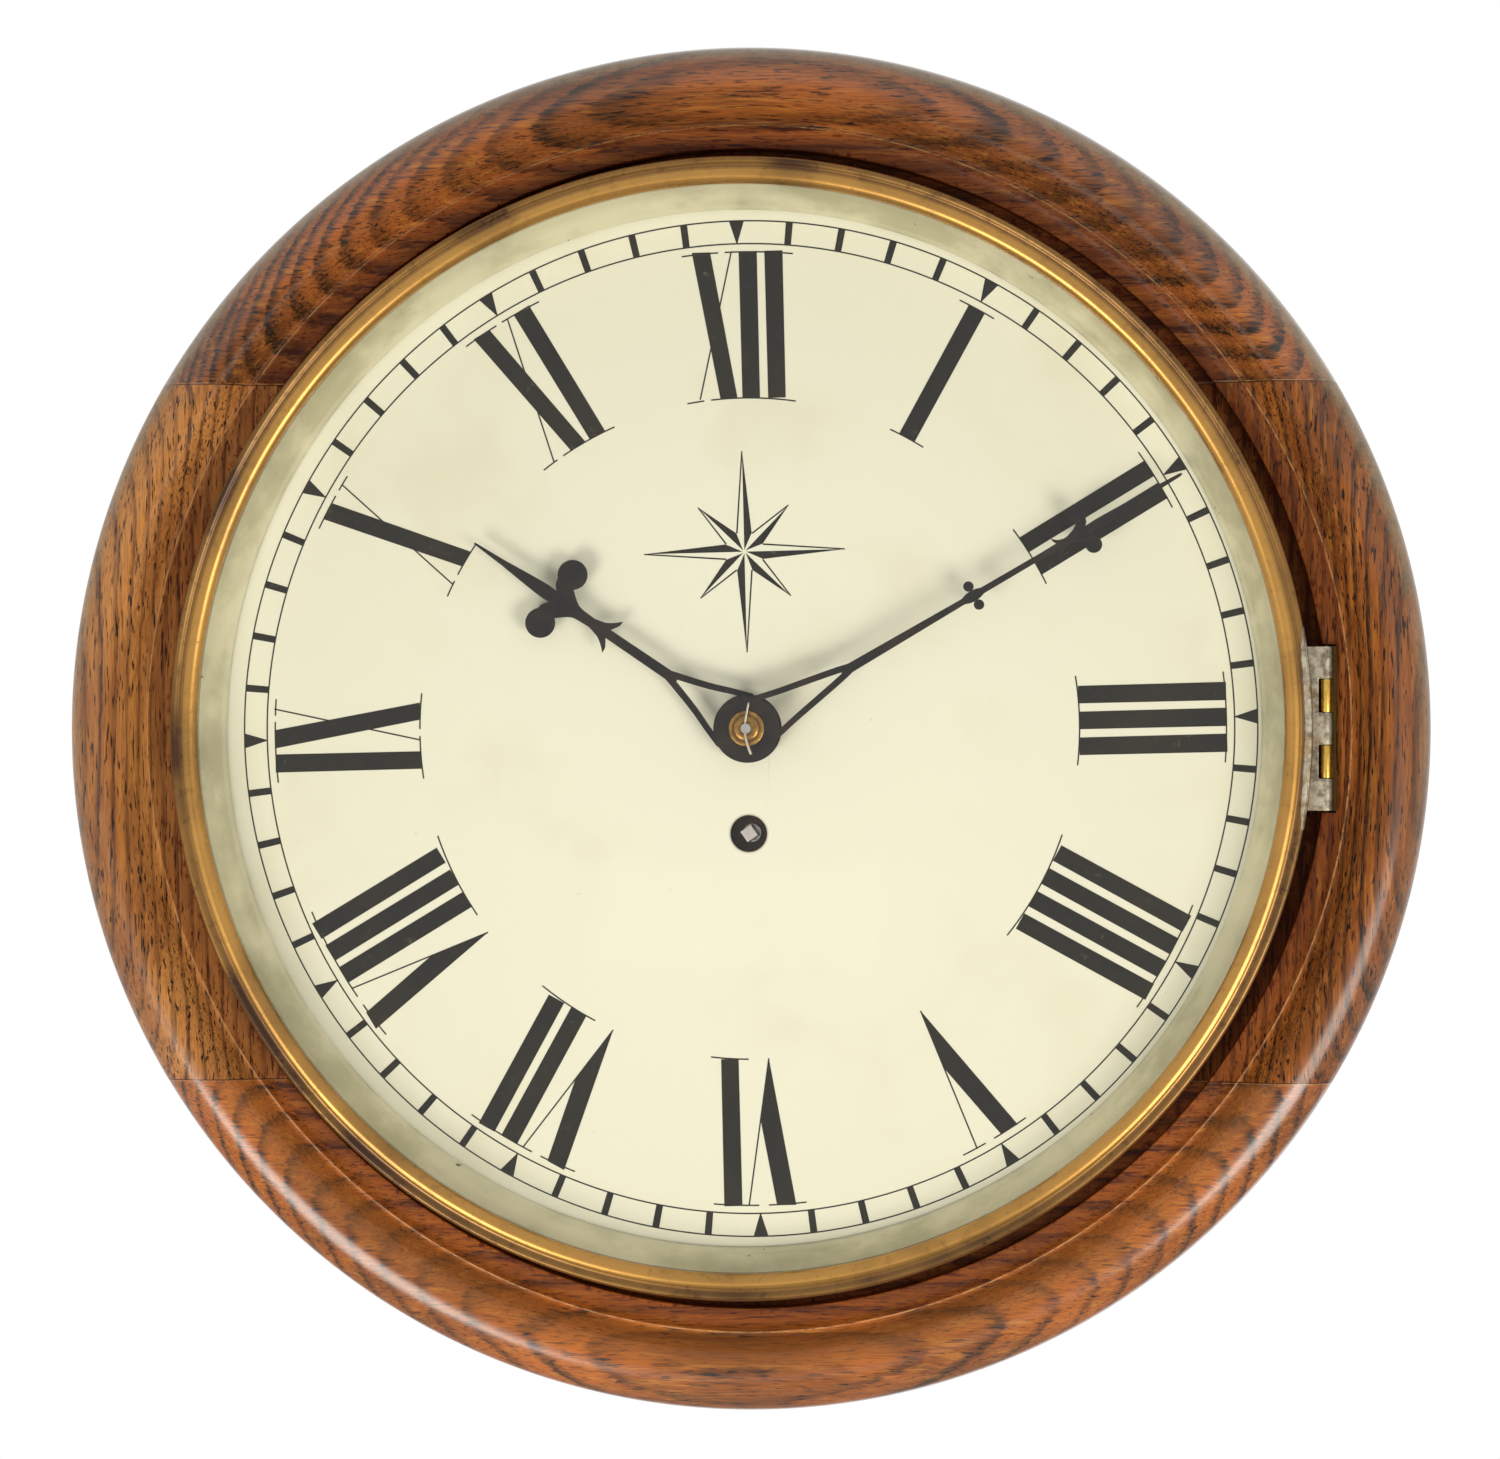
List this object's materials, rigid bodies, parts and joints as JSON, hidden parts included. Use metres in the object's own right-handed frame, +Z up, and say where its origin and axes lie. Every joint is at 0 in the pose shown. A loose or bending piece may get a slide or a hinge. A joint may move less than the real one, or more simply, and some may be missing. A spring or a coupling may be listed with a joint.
{
  "type": "station clock",
  "caption": "Round oak wall clock with painted dial, hinged brass bezel, pierced hands and spring-driven pendulum movement in a box with two doors.",
  "frame": {"origin": "on the dial's axis, at the back face of the back board, which rests on the wall", "axes": "+X to the viewer's right, +Z up, and the dial faces -Y, so +Y points into the wall"},
  "size_m": [0.445, 0.142, 0.445],
  "materials": {
    "oak": "french polished oak, warm brown with darker pores",
    "case_oak": "stained oak, satin, plain",
    "peg_oak": "bare turned oak pegs",
    "bezel_brass": "turned brass, lacquer worn, brown in the grooves",
    "hinge_brass": "plain brass, worn",
    "hinge_steel": "plain steel pin",
    "hinge_solder": "soft solder over brass, dull grey",
    "silvered": "aged silvering, dull greenish grey",
    "clear_glass": "clear flat glass",
    "dial_white": "aged cream paint, satin",
    "dial_black": "worn black paint",
    "hand_steel": "blued steel, dark, satin",
    "collet_brass": "polished brass dome",
    "pin_steel": "bright tapered steel wire",
    "movement_brass": "fine-grained brass, lightly tarnished",
    "bright_steel": "polished steel",
    "spring_steel": "oiled spring steel",
    "gut": "twisted gut, amber",
    "bob_brass": "polished brass shell over lead",
    "plate_brass": "old brass plate",
    "screw_brass": "brass round-head screws",
    "iron_screws": "dull iron screws and pins"
  },
  "bodies": {
    "case": {"surround_top": "oak", "surround_bottom": "oak", "surround_left": "oak", "surround_right": "oak", "surround_blocks": "case_oak", "surround_pegs": "peg_oak", "box_back": "case_oak", "box_top": "case_oak", "box_bottom": "case_oak", "box_side_left": "case_oak", "box_side_right": "case_oak", "hanging_plate": "plate_brass", "hanging_screws": "iron_screws", "door_pins": "iron_screws", "round_head_screws": "screw_brass", "dial_plate": "dial_white", "dial_markings": "dial_black", "dial_feet": "movement_brass", "taper_pins": "bright_steel", "case_hinge_leaf": "hinge_brass", "hinge_pin": "hinge_steel", "hinge_screws": "iron_screws", "minute_wheel_stud": "bright_steel", "hour_bridge": "movement_brass", "movement_screws": "bright_steel", "front_plate": "movement_brass", "back_plate": "movement_brass", "plate_pillars": "movement_brass", "back_cock": "movement_brass", "fusee_line": "gut", "barrel_arbor": "bright_steel", "barrel_click": "bright_steel"},
    "bezel": {"bezel_ring": "bezel_brass", "glass": "clear_glass", "sight_ring": "silvered", "bezel_hinge_leaf": "hinge_solder", "bezel_tongue": "bezel_brass"},
    "minute_train": {"centre_wheel": "movement_brass", "cannon_wheel": "movement_brass", "minute_hand": "hand_steel", "hand_collet": "collet_brass", "hand_pin": "pin_steel"},
    "hour_train": {"hour_wheel": "movement_brass", "hour_hand": "hand_steel"},
    "motion_wheel": {"minute_wheel": "movement_brass"},
    "third_train": {"third_wheel": "movement_brass"},
    "escape_train": {"escape_wheel": "movement_brass"},
    "great_train": {"great_wheel": "movement_brass"},
    "fusee_winder": {"fusee": "movement_brass"},
    "barrel_drum": {"spring_barrel": "movement_brass", "mainspring": "spring_steel"},
    "pendulum": {"suspension_spring": "bright_steel", "pendulum_rod": "bright_steel"},
    "pallet_anchor": {"pallets": "bright_steel"},
    "bob": {"pendulum_bob": "bob_brass"},
    "bob_nut": {"rating_nut": "movement_brass"},
    "lower_door": {"bottom_door": "case_oak"},
    "lower_button": {"bottom_door_button": "plate_brass"},
    "right_door": {"side_door": "case_oak"},
    "right_button": {"side_door_button": "plate_brass"}
  },
  "joints": [
    {"name": "bezel_hinge", "type": "hinge", "parent": "case", "child": "bezel", "pos_m": [0.1886, -0.1339, 0], "axis": [0, 0, 1], "range_deg": [0, 110]},
    {"name": "minute_turn", "type": "hinge", "parent": "case", "child": "minute_train", "pos_m": [0, 0, 0], "axis": [0, 1, 0], "continuous": true},
    {"name": "hour_turn", "type": "hinge", "parent": "case", "child": "hour_train", "pos_m": [0, 0, 0], "axis": [0, 1, 0], "continuous": true},
    {"name": "motion_wheel_turn", "type": "hinge", "parent": "case", "child": "motion_wheel", "pos_m": [0, 0, 0.0288], "axis": [0, 1, 0], "continuous": true},
    {"name": "third_wheel_turn", "type": "hinge", "parent": "case", "child": "third_train", "pos_m": [0.01752, 0, 0.02094], "axis": [0, 1, 0], "continuous": true},
    {"name": "escape_wheel_turn", "type": "hinge", "parent": "case", "child": "escape_train", "pos_m": [0, 0, 0.036], "axis": [0, 1, 0], "continuous": true},
    {"name": "great_wheel_turn", "type": "hinge", "parent": "case", "child": "great_train", "pos_m": [0, 0, -0.0344], "axis": [0, 1, 0], "continuous": true},
    {"name": "fusee_winding", "type": "hinge", "parent": "great_train", "child": "fusee_winder", "pos_m": [0, 0, -0.0344], "axis": [0, 1, 0], "range_deg": [0, 5760]},
    {"name": "barrel_turn", "type": "hinge", "parent": "case", "child": "barrel_drum", "pos_m": [-0.05, 0, -0.066], "axis": [0, 1, 0], "range_deg": [0, 3345]},
    {"name": "pendulum_swing", "type": "hinge", "parent": "case", "child": "pendulum", "pos_m": [0, -0.031, 0.06], "axis": [0, 1, 0], "range_deg": [-3, 3]},
    {"name": "pallet_rock", "type": "hinge", "parent": "case", "child": "pallet_anchor", "pos_m": [0, -0.031, 0.06], "axis": [0, 1, 0], "range_deg": [-3, 3]},
    {"name": "bob_height", "type": "slide", "parent": "pendulum", "child": "bob", "axis": [0, 0, 1], "range_m": [-0.006, 0.006]},
    {"name": "rating_nut_turn", "type": "hinge", "parent": "bob", "child": "bob_nut", "pos_m": [0, -0.031, -0.145], "axis": [0, 0, 1], "range_deg": [-2702, 2702]},
    {"name": "lower_door_hinge", "type": "hinge", "parent": "case", "child": "lower_door", "pos_m": [-0.05054, -0.055, -0.19403], "axis": [0, 1, 0], "range_deg": [0, 85]},
    {"name": "lower_button_turn", "type": "hinge", "parent": "case", "child": "lower_button", "pos_m": [0.06877, -0.055, -0.19312], "axis": [0.3355, 0, -0.9421], "range_deg": [0, 90]},
    {"name": "right_door_hinge", "type": "hinge", "parent": "case", "child": "right_door", "pos_m": [0.122, -0.027, -0.0075], "axis": [0, 0, 1], "range_deg": [0, 90]},
    {"name": "right_button_turn", "type": "hinge", "parent": "case", "child": "right_button", "pos_m": [0.128, -0.092, -0.008], "axis": [-1, 0, 0], "range_deg": [0, 90]}
  ],
  "couplings": [
    {"joint": "hour_turn", "follows": "minute_turn", "ratio": 0.083333},
    {"joint": "motion_wheel_turn", "follows": "minute_turn", "ratio": -0.5},
    {"joint": "third_wheel_turn", "follows": "minute_turn", "ratio": -12},
    {"joint": "escape_wheel_turn", "follows": "minute_turn", "ratio": 132},
    {"joint": "great_wheel_turn", "follows": "minute_turn", "ratio": -0.083333},
    {"joint": "barrel_turn", "follows": "fusee_winding", "ratio": 0.58},
    {"joint": "pallet_rock", "follows": "pendulum_swing", "ratio": 1},
    {"joint": "rating_nut_turn", "follows": "bob_height", "rad_per_m": 7854}
  ]
}
